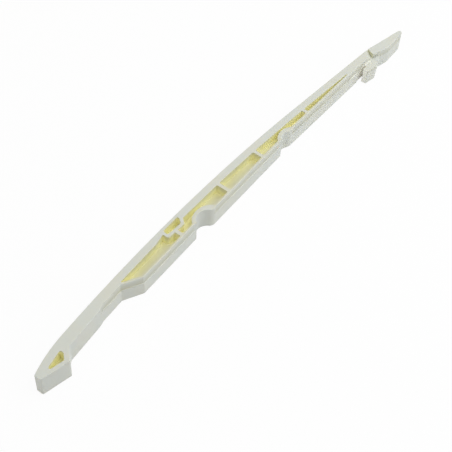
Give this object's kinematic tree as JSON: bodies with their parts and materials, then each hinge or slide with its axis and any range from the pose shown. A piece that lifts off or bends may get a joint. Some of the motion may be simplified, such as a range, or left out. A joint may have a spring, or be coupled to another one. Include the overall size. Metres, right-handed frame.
{
  "type": "timing chain guide",
  "caption": "Slim bowed blade moulded in nylon that guides a timing chain: smooth convex running face, pocketed and ribbed flanks, foot, stud notches, hooked lug and bent tip.",
  "frame": {"origin": "centre of the blade's bounding box, on the surface that its lower flank lies on", "axes": "+X from the foot to the tip, +Y out of the running face towards the chain, +Z across the blade, up from the flank it lies on"},
  "size_m": [0.2228, 0.0142, 0.009],
  "materials": {
    "nylon": "satin natural ivory, yellower in the pockets"
  },
  "bodies": {
    "root": {"chain_guide": "nylon"}
  },
  "joints": []
}
